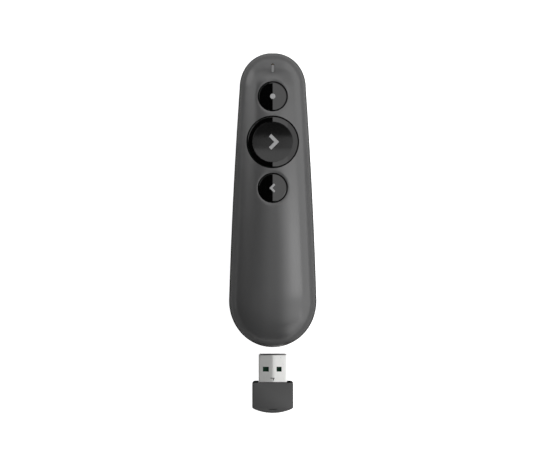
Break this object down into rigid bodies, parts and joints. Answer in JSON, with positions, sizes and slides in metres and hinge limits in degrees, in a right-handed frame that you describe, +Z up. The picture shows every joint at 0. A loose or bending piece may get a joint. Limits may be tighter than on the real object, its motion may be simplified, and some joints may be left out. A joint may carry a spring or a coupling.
{
  "type": "wireless presentation clicker",
  "caption": "Slim hand-held presentation remote with round push buttons on its crown, a battery door underneath and a USB receiver that docks in its tail.",
  "frame": {"origin": "middle of the flat underside of the remote, half way along its length", "axes": "+X to the right, +Y along the remote towards the laser tip, +Z up out of the button face; the receiver lies behind the tail on -Y"},
  "size_m": [0.037, 0.1525, 0.0264],
  "materials": {
    "graphite_shell": "satin",
    "graphite_lower": "satin",
    "gloss_black": "polished",
    "pad_black": "satin",
    "ivory_plastic": "matte",
    "switch_metal": "brushed",
    "clear_plastic": "polished",
    "led_body": "polished",
    "dark_window": "polished",
    "brass": "turned",
    "lens_glass": "polished",
    "gold_can": "plated",
    "holder_plastic": "moulded",
    "board_green": "solder mask",
    "chip_black": "moulded",
    "can_silver": "stamped",
    "ceramic_blue": "ceramic",
    "ceramic_tan": "ceramic",
    "screw_steel": "zinc plated",
    "tray_plastic": "moulded",
    "cell_steel": "bright",
    "sleeve": "printed film",
    "spring_steel": "nickel plated",
    "receiver_graphite": "satin",
    "plug_steel": "bright nickel",
    "contact_gold": "gold plated"
  },
  "bodies": {
    "remote": {"top_shell": "graphite_shell", "bottom_shell": "graphite_lower", "laser_switch": "switch_metal", "next_switch": "switch_metal", "back_switch": "switch_metal", "led_light_pipe": "clear_plastic", "status_led": "led_body", "laser_window": "dark_window", "laser_barrel": "brass", "laser_lens": "lens_glass", "laser_diode": "gold_can", "laser_holder": "holder_plastic", "circuit_board": "board_green", "radio_chip": "chip_black", "driver_chip": "chip_black", "crystal": "can_silver", "chip_antenna": "ceramic_blue", "board_capacitors": "ceramic_tan", "board_screws": "screw_steel", "housing_screws": "screw_steel", "battery_tray": "tray_plastic", "battery_cell": "cell_steel", "battery_sleeve": "sleeve", "battery_spring": "spring_steel", "battery_minus_plate": "spring_steel", "battery_plus_plate": "spring_steel", "receiver_dock": "tray_plastic"},
    "battery_door": {"battery_door": "graphite_lower"},
    "laser_button": {"laser_button_cap": "gloss_black", "laser_plunger": "ivory_plastic"},
    "next_button": {"next_button_cap": "gloss_black", "next_button_pad": "pad_black", "next_plunger": "ivory_plastic"},
    "back_button": {"back_button_cap": "gloss_black", "back_plunger": "ivory_plastic"},
    "receiver": {"receiver_cap": "receiver_graphite", "receiver_plug_shell": "plug_steel", "receiver_insert": "chip_black", "receiver_board": "board_green", "receiver_contacts": "contact_gold", "receiver_chip": "chip_black", "receiver_crystal": "can_silver"}
  },
  "joints": [
    {"name": "laser_press", "type": "slide", "parent": "remote", "child": "laser_button", "axis": [0, 0, -1], "range_m": [0, 0.0004], "stiffness_N_per_m": 3000, "springref_m": -0.0002},
    {"name": "next_press", "type": "slide", "parent": "remote", "child": "next_button", "axis": [0, 0, -1], "range_m": [0, 0.0004], "stiffness_N_per_m": 3000, "springref_m": -0.0002},
    {"name": "back_press", "type": "slide", "parent": "remote", "child": "back_button", "axis": [0, 0, -1], "range_m": [0, 0.0004], "stiffness_N_per_m": 3000, "springref_m": -0.0002},
    {"name": "door_tilt", "type": "hinge", "parent": "remote", "child": "battery_door", "pos_m": [0, 0.0129, 0.00095], "axis": [1, 0, 0], "range_deg": [0, 75]},
    {"name": "receiver_dock_slide", "type": "slide", "parent": "remote", "child": "receiver", "axis": [0, 1, 0], "range_m": [0, 0.02795]}
  ]
}
